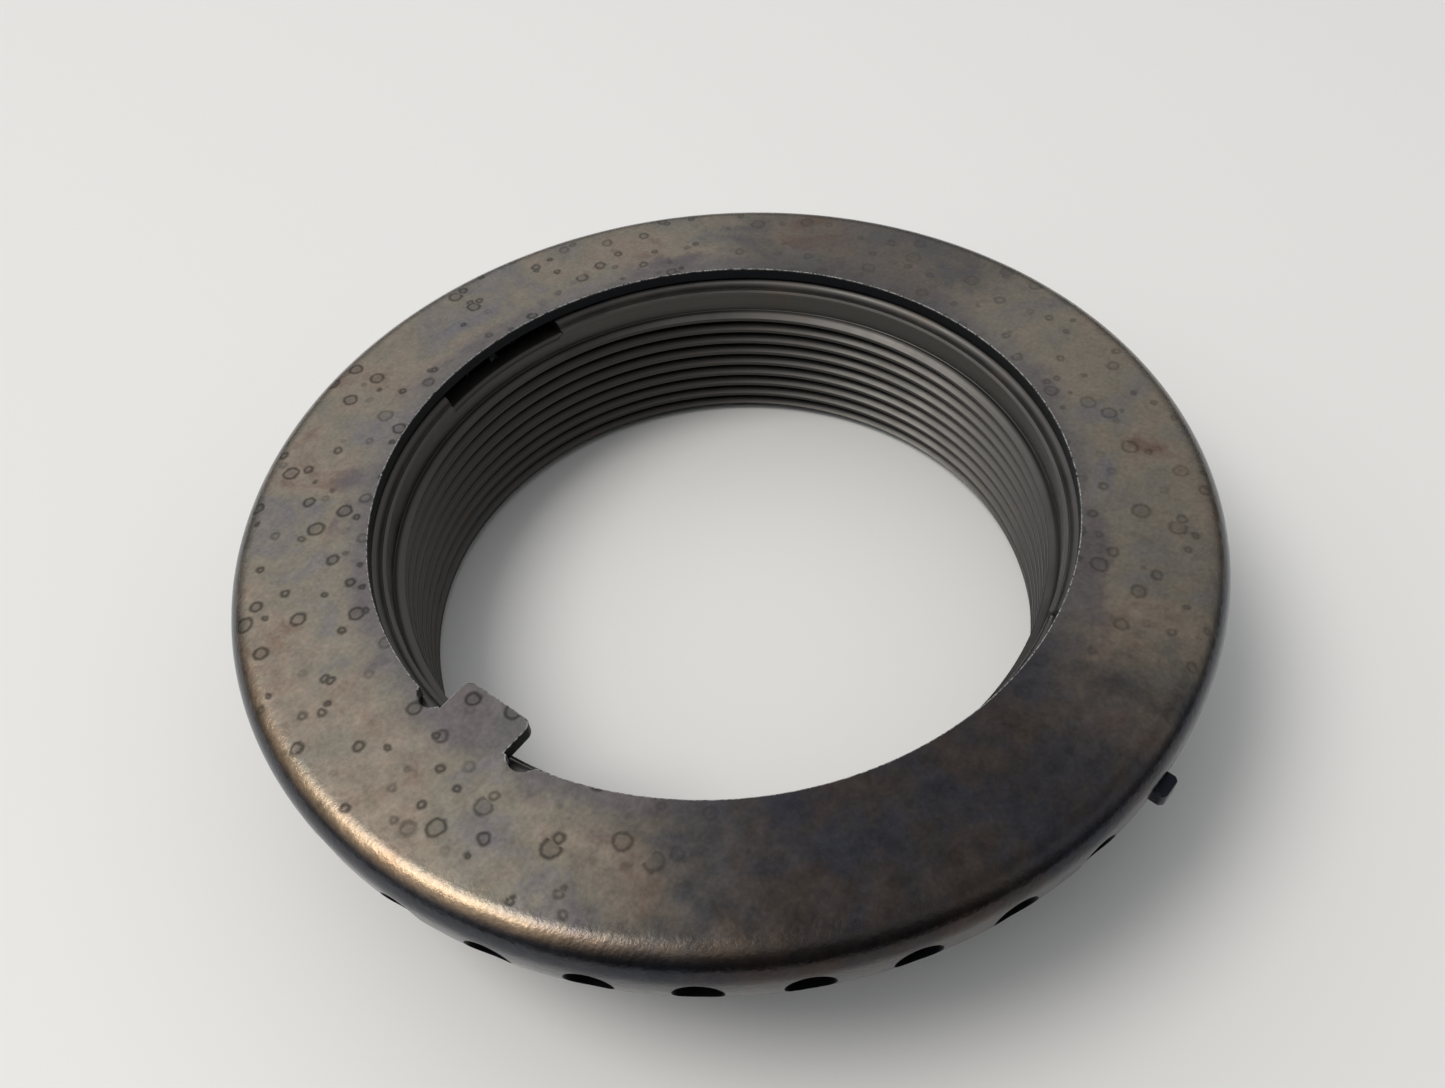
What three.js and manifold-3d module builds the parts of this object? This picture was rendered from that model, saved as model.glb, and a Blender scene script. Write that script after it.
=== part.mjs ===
// Self-locking spindle nut. A threaded nut turns inside a keyed sheet-steel cage, and two
// sprung fingers in the nut's flange reach out through the cage's holes and lock the two.
// Millimetres, +Z up. The origin is the centre of the drive end that the nut stands on,
// and the cage's key tab points along -X.

import * as THREE from 'three';
import { mergeVertices } from 'three/addons/utils/BufferGeometryUtils.js';
import Module from 'manifold-3d';

const wasm = await Module();
wasm.setup();

// Driving dimensions
const TOTAL_HEIGHT = 25.4;
const OUTER_RADIUS = 59.5;
const SHEET = 1.6;
const GAP = 0.3;                       // between pieces that touch

const THREAD_PITCH = 25.4 / 12;
const THREAD_MAJOR_RADIUS = 41.275;    // 3 1/4 inch, 12 threads per inch
const LAND_RADIUS = 41.4;              // smooth land above the thread
const LAND_BOTTOM = TOTAL_HEIGHT - 6.4;
const LAND_CHAMFER = 0.8;              // height of the step from the land in to the thread
const MOUTH_RADIUS = 43.0;             // rounded mouth of the bore, under the cage
const MOUTH_ROUND = 1.2;
const DRIVE_END_CHAMFER = 1.45;        // height of the countersink at the drive end

const ACROSS_FLATS = 95.25;            // eight flats
const FLAT_COUNT = 8;
const CORNER_CHAMFER_HEIGHT = 3.2;     // the flats' corners are turned away below this height

const CAGE_INNER_RADIUS = 42.7;
const SHOULDER_RADIUS = 3.3;
const WALL_DRAW_DEPTH = 4.0;           // the wall is upright to this depth, then draws in
const WALL_DRAW_RADIUS = 11.9;
const WALL_DRAW_ANGLE = THREE.MathUtils.degToRad(20);
const CURL_RADIUS = 3.0;               // the lower edge curls in under the flange
const CURL_ANGLE = THREE.MathUtils.degToRad(65);

const HOLE_COUNT = 36;
const HOLE_RADIUS = 2.38;
const HOLE_DEPTH = 5.8;                // hole centre below the cage face
const FIRST_HOLE_ANGLE = THREE.MathUtils.degToRad(5);

const TAB_WIDTH = 9.5;
const TAB_END_RADIUS = 38.1;
const TAB_CORNER = 1.0;
const TAB_NOTCH_RADIUS = 1.9;
const TAB_NOTCH_PLACE = 41.4;          // notch centre's distance from the axis plane

const FLANGE_RADIUS = 57.5;
const FLANGE_SEAT_RADIUS = 55.9;       // flange radius inside the cage's curl
const FLANGE_BOTTOM = 16.6;
const FLANGE_SEAT_HEIGHT = 1.2;
const FLANGE_SLOPE_HEIGHT = 2.2;       // from the seat out to the full radius
const FLANGE_EDGE = 0.5;

const FINGER_ANGLES = { a: THREE.MathUtils.degToRad(85), b: THREE.MathUtils.degToRad(265) };
const FINGER_TRAVEL = 3.4;
const FINGER_TIP_RADIUS = 60.7;
const FINGER_TIP_WIDTH = 3.0;
const FINGER_TIP_HEIGHT = 2.0;
const FINGER_TIP_BEVEL = 0.4;
const FINGER_SHOULDER_RADIUS = 57.2;
const FINGER_WIDTH = 5.0;
const HEAD_WIDTH = 17.0;
const HEAD_OUTER_RADIUS = 52.7;
const HEAD_THICKNESS = 2.5;
const TAIL_OUTER_RADIUS = 50.8;
const TAIL_THICKNESS = 2.0;
const TAIL_BOTTOM = 6.0;
const TAIL_RAMP_TOP = 10.5;
const TAIL_FOOT = 0.6;

const POCKET_WIDTH = 20.4;
const POCKET_FLOOR = 19.2;
const POCKET_INNER_RADIUS = 43.9;
const LIP_DROP = 1.8;                  // the pocket's bore side is cut this far down

const SPRING_OUTER_DIAMETER = 3.2;
const SPRING_WIRE = 0.45;
const SPRING_TURNS = 4.5;
const SPRING_OFFSET = 5.6;             // sideways from the finger's centre line
const PEG_RADIUS = 0.85;
const PEG_LENGTH = 2.0;

// Worked out from the above
const CAGE_UNDERSIDE = TOTAL_HEIGHT - SHEET;
const NUT_TOP = CAGE_UNDERSIDE - GAP;
const HEAD_TOP = NUT_TOP - GAP;
const HEAD_BOTTOM = POCKET_FLOOR + GAP;
const HEAD_INNER_RADIUS = HEAD_OUTER_RADIUS - HEAD_THICKNESS;
const POCKET_OUTER_RADIUS = HEAD_OUTER_RADIUS + GAP;
const HOLE_HEIGHT = TOTAL_HEIGHT - HOLE_DEPTH;
const FINGER_TIP_BOTTOM = HOLE_HEIGHT - FINGER_TIP_HEIGHT / 2;
const TAIL_INNER_RADIUS = TAIL_OUTER_RADIUS - TAIL_THICKNESS;
const SLOT_INNER_RADIUS = TAIL_INNER_RADIUS - FINGER_TRAVEL - GAP;
const SLOT_WIDTH = FINGER_WIDTH + 2 * GAP;
const SPRING_HEIGHT = (HEAD_TOP + HEAD_BOTTOM) / 2;
const THREAD_DEPTH = 0.5413 * THREAD_PITCH;
const THREAD_MINOR_RADIUS = THREAD_MAJOR_RADIUS - THREAD_DEPTH;

const CLEAR = 5;                       // how far a cutting tool runs past what it cuts
const NUT_SEGMENTS = 48;
const CAGE_SEGMENTS = 72;
const HOLE_SEGMENTS = 10;
const WIRE_SIDES = 5;
const STEPS_PER_TURN = 8;

// Solids

function solidOf(geometry) {
  const bare = geometry.index ? geometry.toNonIndexed() : geometry.clone();
  bare.deleteAttribute('normal');
  bare.deleteAttribute('uv');
  const merged = mergeVertices(bare, 1e-4);
  return new wasm.Manifold(new wasm.Mesh({
    numProp: 3,
    vertProperties: new Float32Array(merged.attributes.position.array),
    triVerts: new Uint32Array(merged.index.array),
  }));
}

function geometryOf(solid) {
  const mesh = solid.getMesh();
  const geometry = new THREE.BufferGeometry();
  geometry.setAttribute('position', new THREE.BufferAttribute(mesh.vertProperties, 3));
  geometry.setIndex(new THREE.BufferAttribute(mesh.triVerts, 1));
  geometry.computeVertexNormals();
  return geometry;
}

const joined = (first, ...rest) => rest.reduce((sum, solid) => sum.add(solid), first);
const without = (base, ...tools) => tools.reduce((left, tool) => left.subtract(tool), base);

// A solid of revolution about Z. The profile is [radius, height] pairs, outer side upwards.
function turned(profile, segments) {
  const points = profile.map(([radius, height]) => new THREE.Vector2(radius, height));
  return solidOf(new THREE.LatheGeometry(points, segments).rotateX(Math.PI / 2));
}

function block([x0, x1], [y0, y1], [z0, z1]) {
  const box = new THREE.BoxGeometry(x1 - x0, y1 - y0, z1 - z0);
  return solidOf(box.translate((x0 + x1) / 2, (y0 + y1) / 2, (z0 + z1) / 2));
}

function about(halfWidth) {
  return [-halfWidth, halfWidth];
}

function outline(points) {
  return new THREE.Shape(points.map(([x, y]) => new THREE.Vector2(x, y)));
}

// An outline in plan, given height from bottom to top.
function plate(shape, bottom, top) {
  const flat = new THREE.ExtrudeGeometry(shape, {
    depth: top - bottom, bevelEnabled: false, curveSegments: 6,
  });
  return solidOf(flat.translate(0, 0, bottom));
}

// An outline in [radius, height], given a width centred on the XZ plane.
function rib(points, width) {
  const side = new THREE.ExtrudeGeometry(outline(points), { depth: width, bevelEnabled: false });
  return solidOf(side.translate(0, 0, -width / 2).rotateX(Math.PI / 2));
}

function turnedBy(solid, angle) {
  return solid.rotate([0, 0, THREE.MathUtils.radToDeg(angle)]);
}

// Points of an arc in the [radius, height] plane, from one angle to the other.
function arc([centreR, centreZ], radius, from, to, steps) {
  return Array.from({ length: steps + 1 }, (_, i) => {
    const angle = from + ((to - from) * i) / steps;
    return [centreR + radius * Math.cos(angle), centreZ + radius * Math.sin(angle)];
  });
}

// Nut

function flangeBlank() {
  const slopeBottom = FLANGE_BOTTOM + FLANGE_SEAT_HEIGHT;
  const slopeTop = slopeBottom + FLANGE_SLOPE_HEIGHT;
  return turned([
    [0, FLANGE_BOTTOM],
    [FLANGE_SEAT_RADIUS, FLANGE_BOTTOM],
    [FLANGE_SEAT_RADIUS, slopeBottom],
    [FLANGE_RADIUS - FLANGE_EDGE, slopeBottom + FLANGE_SLOPE_HEIGHT / 3],
    [FLANGE_RADIUS, slopeTop],
    [FLANGE_RADIUS, NUT_TOP - FLANGE_EDGE],
    [FLANGE_RADIUS - FLANGE_EDGE, NUT_TOP],
    [0, NUT_TOP],
  ], NUT_SEGMENTS);
}

function driveBlank() {
  const flatRadius = ACROSS_FLATS / 2;
  const cornerRadius = flatRadius / Math.cos(Math.PI / FLAT_COUNT);
  const corners = Array.from({ length: FLAT_COUNT }, (_, i) => {
    const angle = FINGER_ANGLES.a + ((i + 0.5) * 2 * Math.PI) / FLAT_COUNT;
    return [cornerRadius * Math.cos(angle), cornerRadius * Math.sin(angle)];
  });
  const chamfer = turned([
    [0, 0],
    [flatRadius - GAP, 0],
    [cornerRadius + GAP, CORNER_CHAMFER_HEIGHT],
    [cornerRadius + GAP, FLANGE_BOTTOM + CLEAR],
    [0, FLANGE_BOTTOM + CLEAR],
  ], NUT_SEGMENTS);
  return plate(outline(corners), 0, FLANGE_BOTTOM + 1).intersect(chamfer);
}

function boreTool() {
  const roundCentre = [MOUTH_RADIUS, NUT_TOP - MOUTH_ROUND];
  return turned([
    [0, -CLEAR],
    [THREAD_MAJOR_RADIUS + CLEAR, -CLEAR],
    [THREAD_MINOR_RADIUS, DRIVE_END_CHAMFER],
    [THREAD_MINOR_RADIUS, LAND_BOTTOM - LAND_CHAMFER],
    [LAND_RADIUS, LAND_BOTTOM],
    [LAND_RADIUS, NUT_TOP - MOUTH_ROUND],
    ...arc(roundCentre, MOUTH_ROUND, Math.PI, Math.PI / 2, 2),
    [MOUTH_RADIUS, NUT_TOP + CLEAR],
    [0, NUT_TOP + CLEAR],
  ], NUT_SEGMENTS);
}

// A V groove wound into a right-hand helix: a straight bar whose length becomes the angle.
function threadTool() {
  const rootHalf = THREAD_PITCH / 16;
  const flank = Math.tan(Math.PI / 6);
  const mouthRadius = THREAD_MINOR_RADIUS - GAP;
  const mouthHalf = rootHalf + (THREAD_MAJOR_RADIUS - mouthRadius) * flank;
  const steps = Math.ceil((LAND_BOTTOM / THREAD_PITCH + 2) * NUT_SEGMENTS);
  const groove = outline([
    [mouthRadius, -mouthHalf],
    [THREAD_MAJOR_RADIUS, -rootHalf],
    [THREAD_MAJOR_RADIUS, rootHalf],
    [mouthRadius, mouthHalf],
  ]);
  const bar = new THREE.ExtrudeGeometry(groove, {
    depth: (2 * Math.PI * steps) / NUT_SEGMENTS, steps, bevelEnabled: false,
  });
  const place = bar.attributes.position;
  for (let i = 0; i < place.count; i += 1) {
    const radius = place.getX(i);
    const angle = -place.getZ(i);
    const height = place.getY(i) + LAND_BOTTOM + THREAD_PITCH * (1 + angle / (2 * Math.PI));
    place.setXYZ(i, radius * Math.cos(angle), radius * Math.sin(angle), height);
  }
  return solidOf(bar);
}

function fingerPocketTool() {
  const pocket = block(
    [POCKET_INNER_RADIUS, POCKET_OUTER_RADIUS],
    about(POCKET_WIDTH / 2),
    [POCKET_FLOOR, NUT_TOP + CLEAR],
  );
  const lip = block(
    [THREAD_MINOR_RADIUS - CLEAR, POCKET_INNER_RADIUS + GAP],
    about(POCKET_WIDTH / 2),
    [NUT_TOP - LIP_DROP, NUT_TOP + CLEAR],
  );
  const slot = block(
    [SLOT_INNER_RADIUS, FLANGE_RADIUS + CLEAR],
    about(SLOT_WIDTH / 2),
    [TAIL_BOTTOM - 2 * GAP, NUT_TOP + CLEAR],
  );
  return joined(pocket, lip, slot);
}

function nutBody() {
  const pockets = Object.values(FINGER_ANGLES).map((angle) => turnedBy(fingerPocketTool(), angle));
  const blank = joined(flangeBlank(), driveBlank());
  return geometryOf(without(blank, boreTool(), threadTool(), ...pockets));
}

// Cage

// One face of the sheet, from the curled edge up to the flat, set in from the outer face.
function cageFace(inset) {
  const drawCentre = [OUTER_RADIUS - WALL_DRAW_RADIUS, TOTAL_HEIGHT - WALL_DRAW_DEPTH];
  const toCurl = WALL_DRAW_RADIUS - CURL_RADIUS;
  const curlCentre = [
    drawCentre[0] + toCurl * Math.cos(WALL_DRAW_ANGLE),
    drawCentre[1] - toCurl * Math.sin(WALL_DRAW_ANGLE),
  ];
  const shoulderCentre = [OUTER_RADIUS - SHOULDER_RADIUS, TOTAL_HEIGHT - SHOULDER_RADIUS];
  return [
    ...arc(curlCentre, CURL_RADIUS - inset, -CURL_ANGLE, -WALL_DRAW_ANGLE, 3),
    ...arc(drawCentre, WALL_DRAW_RADIUS - inset, -WALL_DRAW_ANGLE, 0, 1).slice(1),
    ...arc(shoulderCentre, SHOULDER_RADIUS - inset, 0, Math.PI / 2, 4),
    [CAGE_INNER_RADIUS, TOTAL_HEIGHT - inset],
  ];
}

function cageShell() {
  const outer = cageFace(0);
  const inner = cageFace(SHEET).reverse();
  return turned([...outer, ...inner, outer[0]], CAGE_SEGMENTS);
}

function holeTool(angle) {
  const drill = new THREE.CylinderGeometry(HOLE_RADIUS, HOLE_RADIUS, 2 * CLEAR, HOLE_SEGMENTS);
  drill.rotateZ(Math.PI / 2);
  return turnedBy(solidOf(drill.translate(OUTER_RADIUS, 0, HOLE_HEIGHT)), angle);
}

function keyTab() {
  const half = TAB_WIDTH / 2;
  const shape = new THREE.Shape();
  shape.moveTo(-CAGE_INNER_RADIUS - SHEET, -half);
  shape.lineTo(-TAB_END_RADIUS - TAB_CORNER, -half);
  shape.quadraticCurveTo(-TAB_END_RADIUS, -half, -TAB_END_RADIUS, -half + TAB_CORNER);
  shape.lineTo(-TAB_END_RADIUS, half - TAB_CORNER);
  shape.quadraticCurveTo(-TAB_END_RADIUS, half, -TAB_END_RADIUS - TAB_CORNER, half);
  shape.lineTo(-CAGE_INNER_RADIUS - SHEET, half);
  return plate(shape, CAGE_UNDERSIDE, TOTAL_HEIGHT);
}

function tabNotchTool(side) {
  const notch = new THREE.CylinderGeometry(TAB_NOTCH_RADIUS, TAB_NOTCH_RADIUS, 2 * CLEAR, HOLE_SEGMENTS);
  const sideways = side * (TAB_WIDTH / 2 + TAB_NOTCH_RADIUS);
  return solidOf(notch.rotateX(Math.PI / 2).translate(-TAB_NOTCH_PLACE, sideways, TOTAL_HEIGHT));
}

function lockCage() {
  const pitch = (2 * Math.PI) / HOLE_COUNT;
  const holes = Array.from({ length: HOLE_COUNT }, (_, i) => holeTool(FIRST_HOLE_ANGLE + i * pitch));
  const keyed = joined(cageShell(), keyTab());
  return geometryOf(without(keyed, ...holes, tabNotchTool(-1), tabNotchTool(1)));
}

// Lock finger, pointing along +X

function fingerTip() {
  const half = FINGER_TIP_WIDTH / 2;
  const bevelled = FINGER_TIP_RADIUS - FINGER_TIP_BEVEL;
  return plate(outline([
    [FINGER_SHOULDER_RADIUS - SHEET, -half],
    [bevelled, -half],
    [FINGER_TIP_RADIUS, -half + FINGER_TIP_BEVEL],
    [FINGER_TIP_RADIUS, half - FINGER_TIP_BEVEL],
    [bevelled, half],
    [FINGER_SHOULDER_RADIUS - SHEET, half],
  ]), FINGER_TIP_BOTTOM, FINGER_TIP_BOTTOM + FINGER_TIP_HEIGHT);
}

function fingerBarAndTail() {
  return rib([
    [TAIL_INNER_RADIUS, TAIL_BOTTOM],
    [TAIL_INNER_RADIUS + TAIL_FOOT, TAIL_BOTTOM],
    [TAIL_OUTER_RADIUS, TAIL_RAMP_TOP],
    [TAIL_OUTER_RADIUS, FINGER_TIP_BOTTOM],
    [FINGER_SHOULDER_RADIUS, FINGER_TIP_BOTTOM],
    [FINGER_SHOULDER_RADIUS, HEAD_TOP],
    [TAIL_INNER_RADIUS, HEAD_TOP],
  ], FINGER_WIDTH);
}

function fingerPeg(side) {
  const peg = new THREE.CylinderGeometry(PEG_RADIUS, PEG_RADIUS, PEG_LENGTH + GAP, HOLE_SEGMENTS);
  const middle = HEAD_INNER_RADIUS - (PEG_LENGTH - GAP) / 2;
  return solidOf(peg.rotateZ(Math.PI / 2).translate(middle, side * SPRING_OFFSET, SPRING_HEIGHT));
}

function lockFinger() {
  const head = block(
    [HEAD_INNER_RADIUS, HEAD_OUTER_RADIUS],
    about(HEAD_WIDTH / 2),
    [HEAD_BOTTOM, HEAD_TOP],
  );
  return geometryOf(joined(fingerBarAndTail(), head, fingerTip(), fingerPeg(-1), fingerPeg(1)));
}

// Finger spring: a coil along +X between the pocket's inner wall and the finger's head

class CoilLine extends THREE.Curve {
  getPoint(t) {
    const radius = (SPRING_OUTER_DIAMETER - SPRING_WIRE) / 2;
    const start = POCKET_INNER_RADIUS + GAP + SPRING_WIRE / 2;
    const end = HEAD_INNER_RADIUS - GAP - SPRING_WIRE / 2;
    const angle = 2 * Math.PI * SPRING_TURNS * t;
    return new THREE.Vector3(
      start + (end - start) * t,
      radius * Math.cos(angle),
      radius * Math.sin(angle),
    );
  }
}

function fingerSpring() {
  const section = outline(arc([0, 0], SPRING_WIRE / 2, 0, 2 * Math.PI, WIRE_SIDES).slice(0, -1));
  return new THREE.ExtrudeGeometry(section, {
    extrudePath: new CoilLine(),
    steps: Math.round(SPRING_TURNS * STEPS_PER_TURN),
    bevelEnabled: false,
  });
}

// Finishes

const darkTurnedSteel = new THREE.MeshStandardMaterial({
  color: 0x3a3836, roughness: 0.5, metalness: 0.9,
});
const temperedSheetSteel = new THREE.MeshStandardMaterial({
  color: 0x564a3e, roughness: 0.38, metalness: 0.95,
});
const bluedSteel = new THREE.MeshStandardMaterial({
  color: 0x24242c, roughness: 0.4, metalness: 0.9,
});
const springSteel = new THREE.MeshStandardMaterial({
  color: 0x4a4845, roughness: 0.42, metalness: 1,
});

// Assembly

function named(name, geometry, material) {
  const mesh = new THREE.Mesh(geometry, material);
  mesh.name = name;
  return mesh;
}

function lockSet(letter, angle) {
  const set = new THREE.Group();
  set.rotation.z = angle;
  set.add(named(`lock_finger_${letter}`, lockFinger(), bluedSteel));
  [-1, 1].forEach((side, i) => {
    const spring = named(`finger_spring_${letter}${i + 1}`, fingerSpring(), springSteel);
    spring.position.set(0, side * SPRING_OFFSET, SPRING_HEIGHT);
    set.add(spring);
  });
  return set;
}

const spindleNut = new THREE.Group();
spindleNut.add(named('nut_body', nutBody(), darkTurnedSteel));
spindleNut.add(named('lock_cage', lockCage(), temperedSheetSteel));
for (const [letter, angle] of Object.entries(FINGER_ANGLES)) {
  spindleNut.add(lockSet(letter, angle));
}

export default spindleNut;
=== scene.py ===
import math
import bpy
from mathutils import Matrix, Vector


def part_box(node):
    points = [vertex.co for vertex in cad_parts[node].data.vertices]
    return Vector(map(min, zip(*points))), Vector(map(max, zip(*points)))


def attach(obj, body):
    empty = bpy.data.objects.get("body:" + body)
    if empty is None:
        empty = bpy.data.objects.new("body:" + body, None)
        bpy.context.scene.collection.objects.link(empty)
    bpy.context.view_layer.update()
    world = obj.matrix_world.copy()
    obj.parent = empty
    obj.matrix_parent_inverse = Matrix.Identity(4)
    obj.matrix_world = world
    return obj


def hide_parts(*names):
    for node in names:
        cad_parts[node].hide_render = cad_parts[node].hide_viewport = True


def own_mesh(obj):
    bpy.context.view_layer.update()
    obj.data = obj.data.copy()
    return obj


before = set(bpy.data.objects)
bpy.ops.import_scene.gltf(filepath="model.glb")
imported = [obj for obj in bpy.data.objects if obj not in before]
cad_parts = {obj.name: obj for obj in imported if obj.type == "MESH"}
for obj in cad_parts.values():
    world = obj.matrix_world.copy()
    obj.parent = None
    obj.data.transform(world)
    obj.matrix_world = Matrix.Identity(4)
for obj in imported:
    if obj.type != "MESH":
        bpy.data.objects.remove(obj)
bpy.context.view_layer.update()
print("frame loaded,", len(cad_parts), "nodes")

mm = 0.001
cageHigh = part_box("lock_cage")[1]
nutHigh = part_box("nut_body")[1]
top = cageHigh.z / mm                   # cage face, the object's highest plane
outerRadius = cageHigh.x / mm
flangeRadius = nutHigh.x / mm
nutTop = nutHigh.z / mm


# Tools of the bench: all sizes that the functions below take are in millimetres

def deselectAll():
    if bpy.context.mode != "OBJECT":
        bpy.ops.object.mode_set(mode="OBJECT")
    bpy.ops.object.select_all(action="DESELECT")


def activate(piece):
    deselectAll()
    piece.select_set(True)
    bpy.context.view_layer.objects.active = piece


def startEdit(piece, kind="VERT"):
    activate(piece)
    bpy.ops.object.mode_set(mode="EDIT")
    bpy.ops.mesh.select_mode(type=kind)


def stopEdit():
    bpy.ops.object.mode_set(mode="OBJECT")


def selectVerts(piece, test):
    startEdit(piece)
    bpy.ops.mesh.select_all(action="DESELECT")
    stopEdit()
    for vertex in piece.data.vertices:
        vertex.select = test(vertex.co / mm)
    bpy.ops.object.mode_set(mode="EDIT")


def selectEdges(piece, test):
    startEdit(piece, "EDGE")
    bpy.ops.mesh.select_all(action="DESELECT")
    stopEdit()
    places = [vertex.co / mm for vertex in piece.data.vertices]
    for edge in piece.data.edges:
        edge.select = test(places[edge.vertices[0]], places[edge.vertices[1]])
    bpy.ops.object.mode_set(mode="EDIT")


def arcPoints(centre, radius, start, end, steps):
    # points of an arc in a plane, angles in degrees
    angles = [math.radians(start + (end - start) * i / steps) for i in range(steps + 1)]
    return [(centre[0] + radius * math.cos(a), centre[1] + radius * math.sin(a)) for a in angles]


def drawLine(name, points):
    # one vertex of a circle is kept and extruded from point to point
    deselectAll()
    bpy.ops.mesh.primitive_circle_add(vertices=3, radius=mm)
    piece = bpy.context.object
    piece.name = name
    selectVerts(piece, lambda place: place.y < 0.9)
    bpy.ops.mesh.delete(type="VERT")
    bpy.ops.mesh.select_all(action="SELECT")
    here = Vector((0, 1, 0))
    bpy.ops.transform.translate(value=(Vector(points[0]) - here) * mm)
    for before, after in zip(points, points[1:]):
        step = (Vector(after) - Vector(before)) * mm
        bpy.ops.mesh.extrude_region_move(TRANSFORM_OT_translate={"value": step})
    bpy.ops.mesh.select_all(action="SELECT")
    bpy.ops.mesh.remove_doubles(threshold=0.002 * mm)
    stopEdit()
    return piece


def profileLine(name, profile):
    # [radius, height] pairs drawn in the plane y = 0
    return drawLine(name, [(r, 0, z) for r, z in profile])


def spinRound(piece, steps):
    startEdit(piece)
    bpy.ops.mesh.select_all(action="SELECT")
    bpy.ops.mesh.spin(steps=steps, angle=2 * math.pi, center=(0, 0, 0), axis=(0, 0, 1))
    closeSeams(piece)


def closeSeams(piece, gap=0.004):
    startEdit(piece)
    bpy.ops.mesh.select_all(action="SELECT")
    bpy.ops.mesh.remove_doubles(threshold=gap * mm)
    bpy.ops.mesh.normals_make_consistent(inside=False)
    stopEdit()


def capEnds(piece):
    startEdit(piece, "EDGE")
    bpy.ops.mesh.select_all(action="DESELECT")
    bpy.ops.mesh.select_non_manifold()
    bpy.ops.mesh.fill()
    closeSeams(piece)


def applyModifier(piece, kind, settings):
    activate(piece)
    modifier = piece.modifiers.new(kind, kind)
    for name, value in settings.items():
        setattr(modifier, name, value)
    bpy.ops.object.modifier_apply(modifier=modifier.name)


def combine(piece, tool, operation="DIFFERENCE"):
    applyModifier(piece, "BOOLEAN", {"operation": operation, "solver": "MANIFOLD", "object": tool})
    bpy.data.objects.remove(tool)


def joinAll(pieces):
    deselectAll()
    for piece in pieces:
        piece.select_set(True)
    bpy.context.view_layer.objects.active = pieces[0]
    bpy.ops.object.join()
    return pieces[0]


def turnedCopy(piece, name, degrees):
    # a copy with its own mesh, carried round the nut's axis
    activate(piece)
    bpy.ops.object.duplicate()
    copy = bpy.context.object
    copy.name = name
    copy.rotation_euler.z = math.radians(degrees)
    bpy.ops.object.transform_apply()
    return copy


def solidOfOutline(name, points, along):
    # a closed outline, filled and given a length
    piece = drawLine(name, points + points[:1])
    startEdit(piece, "EDGE")
    bpy.ops.mesh.select_all(action="SELECT")
    bpy.ops.mesh.edge_face_add()
    bpy.ops.mesh.extrude_region_move(TRANSFORM_OT_translate={"value": Vector(along) * mm})
    closeSeams(piece)
    return piece


def block(name, low, high):
    deselectAll()
    size = Vector(high) - Vector(low)
    bpy.ops.mesh.primitive_cube_add(size=1, location=(Vector(low) + size / 2) * mm, scale=size * mm)
    piece = bpy.context.object
    piece.name = name
    bpy.ops.object.transform_apply()
    return piece


def rod(name, radius, start, end, sides=32):
    # a round bar between two points
    deselectAll()
    start, end = Vector(start), Vector(end)
    turn = (end - start).to_track_quat("Z", "Y").to_euler()
    bpy.ops.mesh.primitive_cylinder_add(vertices=sides, radius=radius * mm, depth=(end - start).length * mm,
                                        location=(start + end) / 2 * mm, rotation=turn)
    piece = bpy.context.object
    piece.name = name
    bpy.ops.object.transform_apply()
    return piece


def finishShading(piece, degrees=32):
    activate(piece)
    bpy.ops.object.shade_smooth_by_angle(angle=math.radians(degrees))
    applyModifier(piece, "WEIGHTED_NORMAL", {"keep_sharp": True, "weight": 50})


# Materials

def linear(hexColour):
    parts = [int(hexColour[i:i + 2], 16) / 255 for i in (1, 3, 5)]
    return [p / 12.92 if p <= 0.04045 else ((p + 0.055) / 1.055) ** 2.4 for p in parts] + [1.0]


def addNode(tree, kind, settings=None, inputs=None, stops=None):
    node = tree.nodes.new("ShaderNode" + kind)
    for name, value in (settings or {}).items():
        setattr(node, name, value)
    for name, value in (inputs or {}).items():
        if isinstance(value, bpy.types.NodeSocket):
            tree.links.new(value, node.inputs[name])
        else:
            node.inputs[name].default_value = value
    for i, (place, colour) in enumerate(stops or []):
        ramp = node.color_ramp.elements
        element = ramp[i] if i < 2 else ramp.new(place)
        element.position = place
        element.color = linear(colour)
    return node


def newMaterial(name):
    material = bpy.data.materials.new(name)
    material.use_nodes = True
    tree = material.node_tree
    tree.nodes.clear()
    shader = addNode(tree, "BsdfPrincipled")
    output = addNode(tree, "OutputMaterial")
    tree.links.new(shader.outputs[0], output.inputs[0])
    return material, tree, shader


def setMaterial(piece, material):
    piece.data.materials.clear()
    piece.data.materials.append(material)


def cosine(degrees):
    return math.cos(math.radians(degrees))


def flatWay(degrees):
    return (cosine(degrees), math.sin(math.radians(degrees)), 0)


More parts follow.
